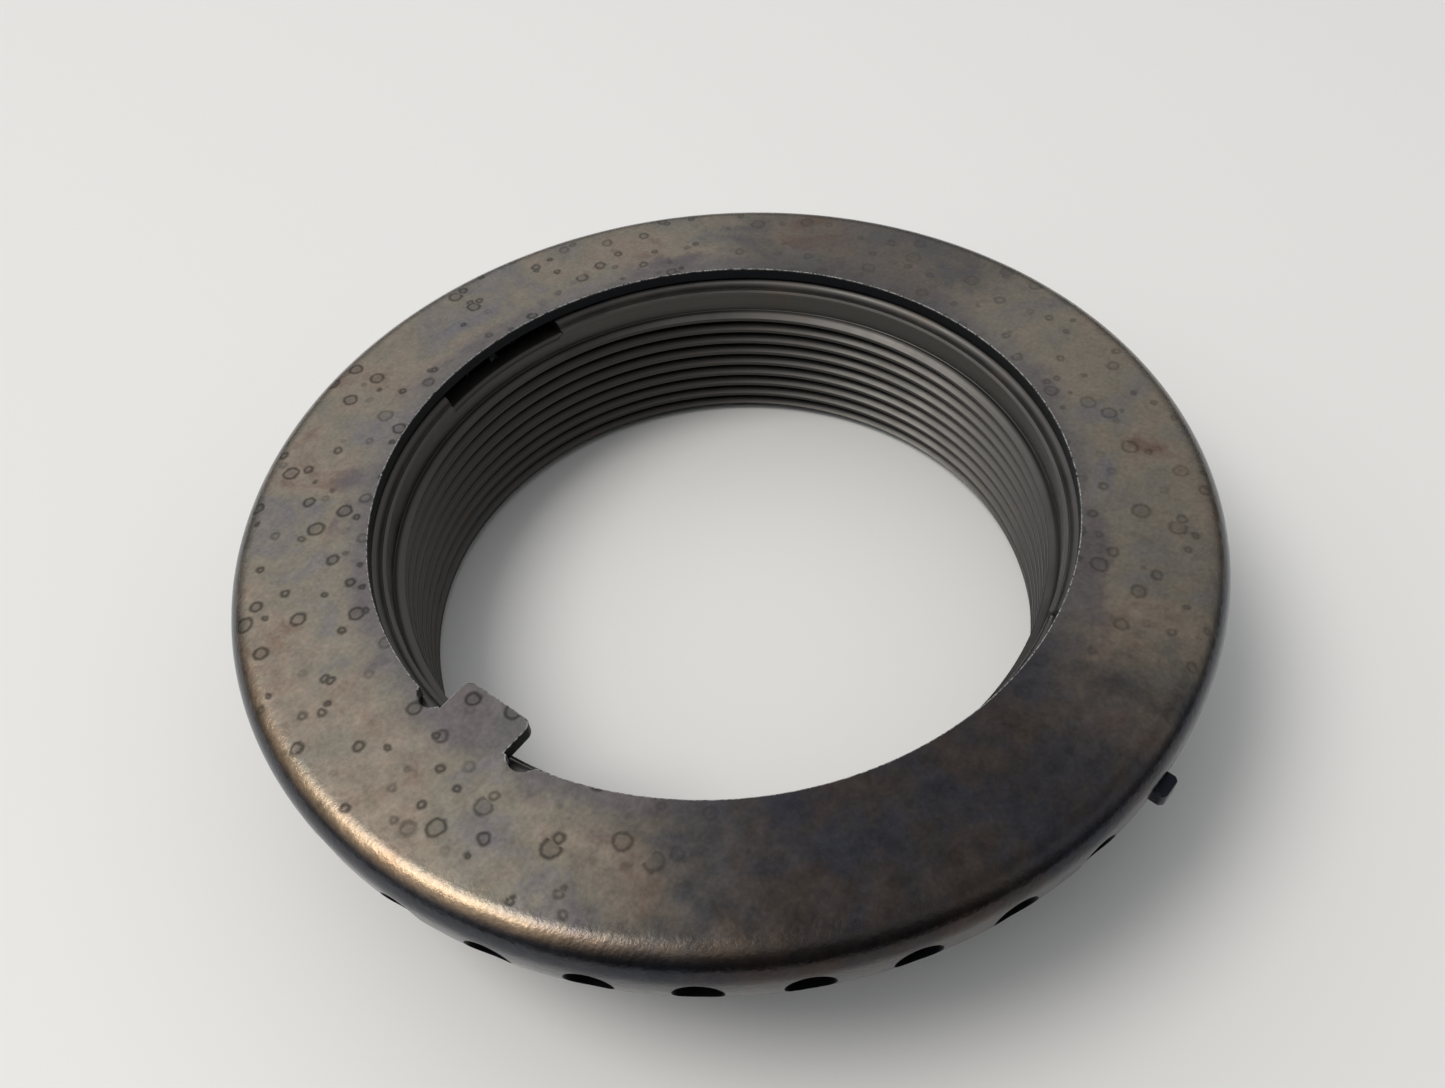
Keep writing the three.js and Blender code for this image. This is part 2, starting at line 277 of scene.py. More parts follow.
temperedSteel = {
    "tan": "#83786b", "olive": "#7a7468", "umber": "#715f53", "slate": "#6f6b6c", "patchSize": 12.0,
    "violet": "#5d5b5e", "violetRadius": (43.0, 47.5), "violetDepth": 0.75, "violetWander": 4.0,
    "strawAndHighlight": "#9e805c", "highlightTintAt": -174, "highlightTintWide": (18, 46),  # painted highlight tint on the lit side: full and faded out to either side
    "shoulderRadius": (56.3, 58.0), "shoulderDepth": 0.6, "shoulderRub": 0.72,
    "wall": "#42464e", "wallBelow": (1.1, 0.18), "wallDepth": 0.95,
    "darkFilmAndReflection": "#34353c", "warmFilmAndReflection": "#423a36", "darkPatchNoiseSize": 9.0, "darkPatchWander": 0.05,
    "filmAndReflectionPatches": [(-119, 12, 42, 0.95), (12, 4, 30, 0.55)],  # painted dark reflection over temper colour: part angle, full, faded out, depth
    "mottleSize": 2.0, "mottle": (0.8, 1.12), "speckSize": 0.55, "speck": (0.86, 1.1),
    "drops": [(4.7, 0.95, 0.75), (3.1, 0.42, 0.45)],  # cell, largest radius, share of cells with a drop
    "smallestDrop": 0.35, "ringLine": 0.42, "insideDrop": 0.34, "wobbleScale": 0.9, "wobble": (0.55, 0.55, 0),
    "splashWay": (-0.66, 0.75, 0), "splashReach": 35.0, "splashLeast": 0.6, "stain": 0.68, "stainOnDarkPatch": 0.25,
    "roughness": 0.29, "grainSize": 0.22, "waveSize": 6.0,  # the grain is drawn coarser than real, to show
    "crinkleSize": 0.5, "crinkleRadius": (54.5, 57.0), "crinkle": (0.05, 0.9),
}


def driedDrops(tree, place):
    # dark rings where drops of oil dried, in two sizes
    s = temperedSteel
    wobble = addNode(tree, "TexNoise", None, {"Vector": place, "Scale": s["wobbleScale"], "Detail": 2.0})
    wobbled = addNode(tree, "VectorMath", {"operation": "MULTIPLY_ADD"},
                      {0: wobble.outputs[1], 1: s["wobble"], 2: place})
    stains = []
    for cell, radius, share in s["drops"]:
        biggest = radius / cell
        drops = addNode(tree, "TexVoronoi", {"voronoi_dimensions": "2D"},
                        {"Vector": wobbled.outputs[0], "Scale": 1 / cell, "Randomness": 1.0})
        chance = addNode(tree, "SeparateColor", None, {0: drops.outputs["Color"]})
        size = addNode(tree, "MapRange", None,
                       {0: chance.outputs[0], 3: biggest * s["smallestDrop"], 4: biggest})
        away = addNode(tree, "Math", {"operation": "SUBTRACT"},
                       {0: drops.outputs["Distance"], 1: size.outputs[0]})
        off = addNode(tree, "Math", {"operation": "ABSOLUTE"}, {0: away.outputs[0]})
        line = addNode(tree, "MapRange", {"interpolation_type": "SMOOTHSTEP"},
                       {0: off.outputs[0], 1: 0.0, 2: s["ringLine"] / cell, 3: 1.0, 4: 0.0})
        inside = addNode(tree, "MapRange", {"interpolation_type": "SMOOTHSTEP"},
                         {0: away.outputs[0], 1: -0.03, 2: 0.0, 3: s["insideDrop"], 4: 0.0})
        drop = addNode(tree, "Math", {"operation": "MAXIMUM"}, {0: line.outputs[0], 1: inside.outputs[0]})
        there = addNode(tree, "MapRange", {"interpolation_type": "SMOOTHSTEP"},
                        {0: chance.outputs[1], 1: 1 - share, 2: 1 - share + 0.35})
        stain = addNode(tree, "Math", {"operation": "MULTIPLY"}, {0: drop.outputs[0], 1: there.outputs[0]})
        stains.append(stain.outputs[0])
    return addNode(tree, "Math", {"operation": "MAXIMUM"}, {0: stains[0], 1: stains[1]})


def makeTemperedSteel():
    # pressed sheet steel that a furnace has tinted bronze to blue, under a dried oil film: the eye gets soft
    # patches of colour, dark droplet rings and a satin shine; the straw tint on the lit shoulder, the dark wall
    # and the two dark patches are partly painted highlight, shade and reflection
    s = temperedSteel
    material, tree, shader = newMaterial("temperedSheetSteel")
    coords = addNode(tree, "TexCoord")
    inMm = addNode(tree, "VectorMath", {"operation": "SCALE"}, {0: coords.outputs["Object"], "Scale": 1 / mm})
    place = inMm.outputs[0]
    flat = addNode(tree, "VectorMath", {"operation": "MULTIPLY"}, {0: place, 1: (1, 1, 0)})
    radius = addNode(tree, "VectorMath", {"operation": "LENGTH"}, {0: flat.outputs[0]})
    height = addNode(tree, "SeparateXYZ", None, {0: place})
    outward = addNode(tree, "VectorMath", {"operation": "NORMALIZE"}, {0: flat.outputs[0]})

    patches = addNode(tree, "TexNoise", None, {"Vector": place, "Scale": 1 / s["patchSize"], "Detail": 5.0,
                                               "Roughness": 0.62, "Distortion": 0.5})
    tint = addNode(tree, "ValToRGB", None, {0: patches.outputs[0]},
                   [(0.34, s["umber"]), (0.45, s["tan"]), (0.55, s["olive"]), (0.68, s["slate"])])
    wander = addNode(tree, "MapRange", None, {0: patches.outputs[0], 1: 0.3, 2: 0.7, 3: -s["violetWander"],
                                              4: s["violetWander"]})
    edgeWay = addNode(tree, "Math", {"operation": "ADD"}, {0: radius.outputs["Value"], 1: wander.outputs[0]})
    start, end = s["violetRadius"]
    innerViolet = addNode(tree, "MapRange", {"interpolation_type": "SMOOTHSTEP"},
                          {0: edgeWay.outputs[0], 1: start, 2: end, 3: s["violetDepth"], 4: 0.0})
    blued = addNode(tree, "Mix", {"data_type": "RGBA"},
                    {0: innerViolet.outputs[0], 6: tint.outputs[0], 7: linear(s["violet"])})

    start, end = s["shoulderRadius"]
    onShoulder = addNode(tree, "MapRange", {"interpolation_type": "SMOOTHSTEP"},
                         {0: radius.outputs["Value"], 1: start, 2: end, 3: 0.0, 4: s["shoulderDepth"]})
    # painted highlight: a straw tint on the shoulder, partly real temper colour, kept to the front-left side where
    # the window's highlight falls
    highlightTintNear = addNode(tree, "VectorMath", {"operation": "DOT_PRODUCT"},
                        {0: outward.outputs[0], 1: flatWay(s["highlightTintAt"])})
    heart, rim = s["highlightTintWide"]
    highlightTintSide = addNode(tree, "MapRange", {"interpolation_type": "SMOOTHSTEP"},
                        {0: highlightTintNear.outputs["Value"], 1: cosine(rim), 2: cosine(heart)})
    highlightTinted = addNode(tree, "Math", {"operation": "MULTIPLY"},
                      {0: onShoulder.outputs[0], 1: highlightTintSide.outputs[0]})
    goldenHighlight = addNode(tree, "Mix", {"data_type": "RGBA"},
                     {0: highlightTinted.outputs[0], 6: blued.outputs[2], 7: linear(s["strawAndHighlight"])})
    # painted shade: the wall below the shoulder turns dark blue-black, partly its temper film and partly the shade
    # and dark reflection that fall there
    below, above = s["wallBelow"]
    onWall = addNode(tree, "MapRange", {"interpolation_type": "SMOOTHSTEP"},
                     {0: height.outputs[2], 1: top - below, 2: top - above, 3: s["wallDepth"], 4: 0.0})
    walled = addNode(tree, "Mix", {"data_type": "RGBA"},
                     {0: onWall.outputs[0], 6: goldenHighlight.outputs[2], 7: linear(s["wall"])})

    # painted reflection: two dark patches on the plate, partly blue and brown temper film and partly standing for
    # the dark reflection the plate shows there
    darkPatchWarp = addNode(tree, "MapRange", None, {0: patches.outputs[0], 1: 0.3, 2: 0.7, 3: -s["darkPatchWander"],
                                                  4: s["darkPatchWander"]})
    darkPatches = []
    for degrees, heart, rim, depth in s["filmAndReflectionPatches"]:
        near = addNode(tree, "VectorMath", {"operation": "DOT_PRODUCT"},
                       {0: outward.outputs[0], 1: flatWay(degrees)})
        edge = addNode(tree, "Math", {"operation": "ADD"}, {0: near.outputs["Value"], 1: darkPatchWarp.outputs[0]})
        darkPatch = addNode(tree, "MapRange", {"interpolation_type": "SMOOTHSTEP"},
                       {0: edge.outputs[0], 1: cosine(rim), 2: cosine(heart), 3: 0.0, 4: depth})
        darkPatches.append(darkPatch.outputs[0])
    darkPatchMask = addNode(tree, "Math", {"operation": "MAXIMUM"}, {0: darkPatches[0], 1: darkPatches[1]})
    darkPatchNoise = addNode(tree, "TexNoise", None, {"Vector": place, "Scale": 1 / s["darkPatchNoiseSize"], "Detail": 6.0,
                                             "Roughness": 0.7})
    warmth = addNode(tree, "MapRange", None, {0: darkPatchNoise.outputs[0], 1: 0.42, 2: 0.6})
    darkFilmAndReflection = addNode(tree, "Mix", {"data_type": "RGBA"},
                     {0: warmth.outputs[0], 6: linear(s["darkFilmAndReflection"]), 7: linear(s["warmFilmAndReflection"])})
    darkPatched = addNode(tree, "Mix", {"data_type": "RGBA"},
                       {0: darkPatchMask.outputs[0], 6: walled.outputs[2], 7: darkFilmAndReflection.outputs[2]})

    mottle = addNode(tree, "TexNoise", None, {"Vector": place, "Scale": 1 / s["mottleSize"], "Detail": 6.0,
                                              "Roughness": 0.7})
    dark, light = s["mottle"]
    mottled = addNode(tree, "MapRange", None, {0: mottle.outputs[0], 1: 0.3, 2: 0.7, 3: dark, 4: light})
    specks = addNode(tree, "TexNoise", None, {"Vector": place, "Scale": 1 / s["speckSize"], "Detail": 3.0,
                                              "Roughness": 0.6})
    dark, light = s["speck"]
    specked = addNode(tree, "MapRange", None, {0: specks.outputs[0], 1: 0.3, 2: 0.7, 3: dark, 4: light})
    mottling = addNode(tree, "Math", {"operation": "MULTIPLY"}, {0: mottled.outputs[0], 1: specked.outputs[0]})

    splashSide = addNode(tree, "VectorMath", {"operation": "DOT_PRODUCT"}, {0: place, 1: s["splashWay"]})
    splashed = addNode(tree, "MapRange", {"interpolation_type": "SMOOTHSTEP"},
                       {0: splashSide.outputs["Value"], 1: -s["splashReach"], 2: s["splashReach"],
                        3: s["splashLeast"], 4: 1.0})
    awayFromDarkPatch = addNode(tree, "MapRange", None, {0: darkPatchMask.outputs[0], 3: 1.0, 4: s["stainOnDarkPatch"]})
    offWall = addNode(tree, "Math", {"operation": "SUBTRACT"}, {0: awayFromDarkPatch.outputs[0], 1: onWall.outputs[0]})
    splash = addNode(tree, "Math", {"operation": "MULTIPLY", "use_clamp": True},
                     {0: splashed.outputs[0], 1: offWall.outputs[0]})
    stained = driedDrops(tree, place)
    dirty = addNode(tree, "Math", {"operation": "MULTIPLY"}, {0: stained.outputs[0], 1: splash.outputs[0]})
    keep = addNode(tree, "Math", {"operation": "MULTIPLY_ADD"}, {0: dirty.outputs[0], 1: -s["stain"], 2: 1.0})
    shade = addNode(tree, "Math", {"operation": "MULTIPLY"}, {0: keep.outputs[0], 1: mottling.outputs[0]})
    colour = addNode(tree, "VectorMath", {"operation": "SCALE"},
                     {0: darkPatched.outputs[2], "Scale": shade.outputs[0]})
    tree.links.new(colour.outputs[0], shader.inputs["Base Color"])

    satin = addNode(tree, "MapRange", None, {0: mottle.outputs[0], 1: 0.3, 2: 0.7, 3: s["roughness"] - 0.07,
                                             4: s["roughness"] + 0.09})
    rubbed = addNode(tree, "MapRange", None, {0: onShoulder.outputs[0], 1: 0.0, 2: s["shoulderDepth"], 3: 1.0,
                                              4: s["shoulderRub"]})
    shine = addNode(tree, "Math", {"operation": "MULTIPLY"}, {0: satin.outputs[0], 1: rubbed.outputs[0]})
    tree.links.new(shine.outputs[0], shader.inputs["Roughness"])
    grain = addNode(tree, "TexNoise", None, {"Vector": place, "Scale": 1 / s["grainSize"], "Detail": 3.0})
    waves = addNode(tree, "TexNoise", None, {"Vector": place, "Scale": 1 / s["waveSize"], "Detail": 2.0})
    wavesBump = addNode(tree, "Bump", None,
                        {"Strength": 0.35, "Distance": 0.05 * mm, "Height": waves.outputs[0]})
    crinkle = addNode(tree, "TexNoise", None, {"Vector": place, "Scale": 1 / s["crinkleSize"], "Detail": 4.0,
                                               "Roughness": 0.6})
    start, end = s["crinkleRadius"]
    flatCrinkle, shoulderCrinkle = s["crinkle"]
    drawn = addNode(tree, "MapRange", {"interpolation_type": "SMOOTHSTEP"},
                    {0: radius.outputs["Value"], 1: start, 2: end, 3: flatCrinkle, 4: shoulderCrinkle})
    crinkleBump = addNode(tree, "Bump", None, {"Strength": drawn.outputs[0], "Distance": 0.05 * mm,
                                               "Height": crinkle.outputs[0], "Normal": wavesBump.outputs[0]})
    grainBump = addNode(tree, "Bump", None, {"Strength": 0.25, "Distance": 0.01 * mm, "Height": grain.outputs[0],
                                             "Normal": crinkleBump.outputs[0]})
    tree.links.new(grainBump.outputs[0], shader.inputs["Normal"])
    shader.inputs["Metallic"].default_value = 0.9
    return material


shearedEdge = {
    "steel": "#1b1d20", "burrGlint": "#b6b5b1", "burrBelow": (0.2, 0.03), "tearScale": 2.2, "roughness": 0.5,
}


def makeShearedEdge():
    # the sheet's cut edge: near black, torn, with a bright thread along its upper corner, the burr's bare steel
    # brightened as a painted glint
    s = shearedEdge
    material, tree, shader = newMaterial("shearedSheetEdge")
    coords = addNode(tree, "TexCoord")
    inMm = addNode(tree, "VectorMath", {"operation": "SCALE"}, {0: coords.outputs["Object"], "Scale": 1 / mm})
    height = addNode(tree, "SeparateXYZ", None, {0: inMm.outputs[0]})
    # painted glint: a broken bright thread along the edge's upper corner, partly the burr's bare steel and partly
    # standing for its sparkle
    below, above = s["burrBelow"]
    high = addNode(tree, "MapRange", None, {0: height.outputs[2], 1: top - below, 2: top - above})
    broken = addNode(tree, "TexNoise", None, {"Vector": inMm.outputs[0], "Scale": s["tearScale"], "Detail": 4.0,
                                              "Roughness": 0.75})
    torn = addNode(tree, "MapRange", None, {0: broken.outputs[0], 1: 0.38, 2: 0.6})
    burrGlint = addNode(tree, "Math", {"operation": "MULTIPLY"}, {0: high.outputs[0], 1: torn.outputs[0]})
    colour = addNode(tree, "Mix", {"data_type": "RGBA"},
                     {0: burrGlint.outputs[0], 6: linear(s["steel"]), 7: linear(s["burrGlint"])})
    tree.links.new(colour.outputs[2], shader.inputs["Base Color"])
    tearing = addNode(tree, "Bump", None, {"Strength": 0.6, "Distance": 0.05 * mm, "Height": broken.outputs[0]})
    tree.links.new(tearing.outputs[0], shader.inputs["Normal"])
    shader.inputs["Metallic"].default_value = 0.85
    shader.inputs["Roughness"].default_value = s["roughness"]
    return material


turnedSteel = {
    "steel": "#5f5d5a", "dark": "#444240", "cloudSize": 7.0, "rust": "#6e5642", "rusty": 0.2,
    "lineSize": 0.16, "line": (0.85, 1.12), "roughness": 0.4,  # the tool's lines are drawn coarser, to show
    "rootRadius": (40.75, 41.2), "rootShade": 0.22, "crestRadius": (40.16, 40.21), "crestShade": 0.7,
    "landDepth": 6.35,
}


def makeTurnedSteel():
    # bar steel turned and threaded, then dipped in dark phosphate and oil: satin dark grey
    # with fine rings from the tool and a breath of rust, and painted shade in the thread roots and on the crests
    s = turnedSteel
    material, tree, shader = newMaterial("phosphatedTurnedSteel")
    coords = addNode(tree, "TexCoord")
    inMm = addNode(tree, "VectorMath", {"operation": "SCALE"}, {0: coords.outputs["Object"], "Scale": 1 / mm})
    place = inMm.outputs[0]
    flat = addNode(tree, "VectorMath", {"operation": "MULTIPLY"}, {0: place, 1: (1, 1, 0)})
    radius = addNode(tree, "VectorMath", {"operation": "LENGTH"}, {0: flat.outputs[0]})
    parts = addNode(tree, "SeparateXYZ", None, {0: place})
    rings = addNode(tree, "CombineXYZ", None, {0: radius.outputs["Value"], 2: parts.outputs[2]})
    toolMarks = addNode(tree, "TexNoise", None, {"Vector": rings.outputs[0], "Scale": 1 / s["lineSize"],
                                                 "Detail": 3.0, "Roughness": 0.6})
    cloud = addNode(tree, "TexNoise", None, {"Vector": place, "Scale": 1 / s["cloudSize"], "Detail": 5.0,
                                             "Roughness": 0.65})
    tone = addNode(tree, "Mix", {"data_type": "RGBA"},
                   {0: cloud.outputs[0], 6: linear(s["dark"]), 7: linear(s["steel"])})
    rusty = addNode(tree, "MapRange", {"interpolation_type": "SMOOTHSTEP"},
                    {0: cloud.outputs[0], 1: 0.56, 2: 0.72, 3: 0.0, 4: s["rusty"]})
    rusted = addNode(tree, "Mix", {"data_type": "RGBA"},
                     {0: rusty.outputs[0], 6: tone.outputs[2], 7: linear(s["rust"])})
    dark, light = s["line"]
    lined = addNode(tree, "MapRange", None, {0: toolMarks.outputs[0], 1: 0.3, 2: 0.7, 3: dark, 4: light})
    # painted shade: the thread roots go dark as if in shadow and the crests a little darker, while the land above
    # the thread is spared
    start, end = s["rootRadius"]
    root = addNode(tree, "MapRange", {"interpolation_type": "SMOOTHSTEP"},
                   {0: radius.outputs["Value"], 1: start, 2: end, 3: 1.0, 4: s["rootShade"]})
    onLand = addNode(tree, "Math", {"operation": "GREATER_THAN"}, {0: parts.outputs[2], 1: top - s["landDepth"]})
    paintedRootShade = addNode(tree, "Math", {"operation": "MAXIMUM"}, {0: root.outputs[0], 1: onLand.outputs[0]})
    start, end = s["crestRadius"]
    crest = addNode(tree, "MapRange", None, {0: radius.outputs["Value"], 1: start, 2: end,
                                             3: s["crestShade"], 4: 1.0})
    paintedThreadShade = addNode(tree, "Math", {"operation": "MULTIPLY"}, {0: paintedRootShade.outputs[0], 1: crest.outputs[0]})
    shade = addNode(tree, "Math", {"operation": "MULTIPLY"}, {0: lined.outputs[0], 1: paintedThreadShade.outputs[0]})
    colour = addNode(tree, "VectorMath", {"operation": "SCALE"},
                     {0: rusted.outputs[2], "Scale": shade.outputs[0]})
    tree.links.new(colour.outputs[0], shader.inputs["Base Color"])
    shine = addNode(tree, "MapRange", None, {0: cloud.outputs[0], 1: 0.3, 2: 0.7, 3: s["roughness"] - 0.06,
                                             4: s["roughness"] + 0.1})
    tree.links.new(shine.outputs[0], shader.inputs["Roughness"])
    marks = addNode(tree, "Bump", None,
                    {"Strength": 0.3, "Distance": 0.012 * mm, "Height": toolMarks.outputs[0]})
    tree.links.new(marks.outputs[0], shader.inputs["Normal"])
    shader.inputs["Metallic"].default_value = 0.9
    return material


bluedSteel = {"blue": "#262730", "bare": "#5c5d66", "rubScale": 0.8, "rubbed": 0.6, "roughness": 0.36}


def makeBluedSteel():
    # hardened strip, blued almost black, a little brighter where it rubs
    s = bluedSteel
    material, tree, shader = newMaterial("bluedLockSteel")
    coords = addNode(tree, "TexCoord")
    inMm = addNode(tree, "VectorMath", {"operation": "SCALE"}, {0: coords.outputs["Object"], "Scale": 1 / mm})
    rub = addNode(tree, "TexNoise", None, {"Vector": inMm.outputs[0], "Scale": s["rubScale"], "Detail": 5.0,
                                           "Roughness": 0.7})
    worn = addNode(tree, "MapRange", {"interpolation_type": "SMOOTHSTEP"},
                   {0: rub.outputs[0], 1: 0.52, 2: 0.72, 3: 0.0, 4: s["rubbed"]})
    colour = addNode(tree, "Mix", {"data_type": "RGBA"},
                     {0: worn.outputs[0], 6: linear(s["blue"]), 7: linear(s["bare"])})
    tree.links.new(colour.outputs[2], shader.inputs["Base Color"])
    pits = addNode(tree, "Bump", None, {"Strength": 0.3, "Distance": 0.02 * mm, "Height": rub.outputs[0]})
    tree.links.new(pits.outputs[0], shader.inputs["Normal"])
    shader.inputs["Metallic"].default_value = 0.9
    shader.inputs["Roughness"].default_value = s["roughness"]
    return material


springWire = {"steel": "#5a5855", "oilBlackAndShade": "#2f2d2a", "filmScale": 1.6, "roughness": 0.42}


def makeSpringWire():
    # drawn wire, hardened in oil and darkened further as painted shade of the pocket it lies in: dull and nearly
    # black, a little grey where it is clean
    s = springWire
    material, tree, shader = newMaterial("drawnSpringWire")
    coords = addNode(tree, "TexCoord")
    inMm = addNode(tree, "VectorMath", {"operation": "SCALE"}, {0: coords.outputs["Object"], "Scale": 1 / mm})
    film = addNode(tree, "TexNoise", None, {"Vector": inMm.outputs[0], "Scale": s["filmScale"], "Detail": 4.0})
    # painted shade: both tones are kept near black for the dark pocket the springs sit in, over the wire's own
    # oil-black
    colour = addNode(tree, "Mix", {"data_type": "RGBA"},
                     {0: film.outputs[0], 6: linear(s["steel"]), 7: linear(s["oilBlackAndShade"])})
    tree.links.new(colour.outputs[2], shader.inputs["Base Color"])
    shader.inputs["Metallic"].default_value = 1.0
    shader.inputs["Roughness"].default_value = s["roughness"]
    return material


# Camera

viewpoint = {
    "distance": 136.9, "azimuth": -48.6, "elevation": 46.14,  # from the centre of the cage's face
    "pan": 0.12, "tilt": -3.23, "roll": 5.87, "lens": 27.95,
}


def towards(azimuth, elevation):
    # azimuth 0 stands on the -Y side and grows towards +X
    azimuth, elevation = math.radians(azimuth), math.radians(elevation)
    return Vector((math.sin(azimuth) * math.cos(elevation), -math.cos(azimuth) * math.cos(elevation),
                   math.sin(elevation)))


def placeCamera():
    v = viewpoint
    azimuth = math.radians(v["azimuth"])
    away = towards(v["azimuth"], v["elevation"])
    ahead = -away
    right = Vector((math.cos(azimuth), math.sin(azimuth), 0))
    up = right.cross(ahead)
    pan = Matrix.Rotation(math.radians(v["pan"]), 3, up)
    ahead, right = pan @ ahead, pan @ right
    tilt = Matrix.Rotation(math.radians(v["tilt"]), 3, right)
    ahead, up = tilt @ ahead, tilt @ up
    roll = Matrix.Rotation(math.radians(v["roll"]), 3, ahead)
    right, up = roll @ right, roll @ up
    bpy.ops.object.camera_add()
    camera = bpy.context.object
    camera.name = "studioCamera"
    camera.matrix_world = Matrix.Translation((away * v["distance"] + Vector((0, 0, top))) * mm) @ Matrix(
        (right, up, -ahead)).transposed().to_4x4()
    camera.data.lens = v["lens"]
    camera.data.clip_start = 5 * mm
    bpy.context.scene.camera = camera


placeCamera()
print("camera placed")

# Lock cage

cage = {
    "sheet": 1.6, "openingRadius": 42.7, "shoulder": 3.3, "drawDepth": 4.0, "drawRadius": 11.9,
    "drawAngle": 20, "curlRadius": 3.0, "curlAngle": 65, "steps": 360,
    "tabWidth": 9.5, "tabEnd": 38.1, "tabCorner": 1.2, "notchRadius": 1.9, "notchPlace": 41.4,
    "holes": 36, "firstHole": 5, "holeRadius": 2.38, "holeDepth": 5.8, "holeTilt": 8.7,
    "holeLip": 0.22, "edgeBreak": 0.13, "plateRings": (45, 48, 51, 54),
}


def openingTool():
    # what is stamped out of the plate: the bore, less the key tab, with a round notch at each side of it
    c = cage
    half = c["tabWidth"] / 2
    tool = rod("openingTool", c["openingRadius"], (0, 0, top - 4), (0, 0, top + 2), c["steps"])
    tab = block("tabTool", (-c["openingRadius"] - 6, -half, top - 6), (-c["tabEnd"], half, top + 4))
    selectEdges(tab, lambda a, b: a.x > -c["tabEnd"] - 0.1 and b.x > -c["tabEnd"] - 0.1 and abs(a.z - b.z) > 1)
    bpy.ops.mesh.bevel(offset=c["tabCorner"] * mm, segments=8, affect="EDGES")
    stopEdit()
    combine(tool, tab)
    for side in (-1, 1):
        at = (-c["notchPlace"], side * (half + c["notchRadius"]))
        combine(tool, rod("notchTool", c["notchRadius"], (*at, top - 4), (*at, top + 2), 48), "UNION")
    return tool


def holeTools():
    # one punch with a flared shoulder that breaks the hole's rim, carried round the wall
    c = cage
    tilt = math.radians(c["holeTilt"])
    drawRadius = c["drawRadius"]
    middle = Vector((outerRadius - drawRadius + drawRadius * math.cos(tilt), 0, top - c["holeDepth"]))
    hole, lip = c["holeRadius"], c["holeLip"]
    punchLine = [(0, -5), (hole, -5), (hole, -lip * 1.6), (hole + 0.05, -lip * 0.8),
                 (hole + lip * 0.5, -lip * 0.2), (hole + lip * 1.6, 0.3), (0, 0.3)]
    punch = profileLine("holePunch", punchLine)
    spinRound(punch, 48)
    punch.rotation_euler.y = math.radians(90)
    punch.location = middle * mm
    activate(punch)
    bpy.ops.object.transform_apply()
    pitch = 360 / c["holes"]
    punches = [turnedCopy(punch, "holePunchCopy", c["firstHole"] + i * pitch) for i in range(c["holes"])]
    bpy.data.objects.remove(punch)
    return joinAll(punches)


def isOnRim(place):
    # on the stamped opening's upper edge, key tab and notches included
    c = cage
    tabRoot = c["notchPlace"] + c["notchRadius"] + 0.1
    tabReach = c["tabWidth"] / 2 + 2 * c["notchRadius"] + 0.05
    onTab = -tabRoot < place.x < 0 and abs(place.y) < tabReach
    onBore = math.hypot(place.x, place.y) < c["openingRadius"] + 0.01
    return place.z > top - 0.01 and (onTab or onBore)


def makeCage():
    c = cage
    drawCentre = (outerRadius - c["drawRadius"], top - c["drawDepth"])
    toCurl = c["drawRadius"] - c["curlRadius"]
    turn = math.radians(c["drawAngle"])
    curlCentre = (drawCentre[0] + toCurl * math.cos(turn), drawCentre[1] - toCurl * math.sin(turn))
    shoulderCentre = (outerRadius - c["shoulder"], top - c["shoulder"])
    plate = [(r, top) for r in (c["tabEnd"] - 2, *c["plateRings"])]
    profile = (plate + arcPoints(shoulderCentre, c["shoulder"], 90, 0, 10)
               + arcPoints(drawCentre, c["drawRadius"], 0, -c["drawAngle"], 6)
               + arcPoints(curlCentre, c["curlRadius"], -c["drawAngle"], -c["curlAngle"], 6)[1:])
    sheet = profileLine("lockCageSheet", profile)
    spinRound(sheet, c["steps"])
    if any(face.normal.z < -0.9 for face in sheet.data.polygons):  # the plate has to look up
        startEdit(sheet)
        bpy.ops.mesh.select_all(action="SELECT")
        bpy.ops.mesh.flip_normals()
        stopEdit()
    applyModifier(sheet, "SOLIDIFY", {"thickness": c["sheet"] * mm, "offset": -1, "use_even_offset": True})
    combine(sheet, openingTool())
    closeSeams(sheet, 0.02)
    selectEdges(sheet, lambda a, b: isOnRim(a) and isOnRim(b))
    bpy.ops.mesh.bevel(offset=c["edgeBreak"] * mm, segments=2, affect="EDGES")
    stopEdit()
    combine(sheet, holeTools())
    finishShading(sheet)
    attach(sheet, "cage")
    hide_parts("lock_cage")
    return sheet


def isSheared(centre, normal):
    # the stamped bore, its key tab and the walls of the holes
    c = cage
    radius = math.hypot(centre.x, centre.y)
    outward = (centre.x * normal.x + centre.y * normal.y) / radius
    inSheet = centre.z > top - c["sheet"] - 0.01
    inBore = radius < c["openingRadius"] + 0.8 and abs(normal.z) < 0.95 and inSheet
    atHoles = radius > outerRadius - 3 and abs(centre.z - top + c["holeDepth"]) < 2.5
    return inBore or (atHoles and abs(outward) < 0.6)


lockCageSheet = makeCage()
setMaterial(lockCageSheet, makeTemperedSteel())
lockCageSheet.data.materials.append(makeShearedEdge())
for face in lockCageSheet.data.polygons:
    face.material_index = 1 if isSheared(face.center / mm, face.normal) else 0
print("cage pressed,", len(lockCageSheet.data.polygons), "faces")

# Nut

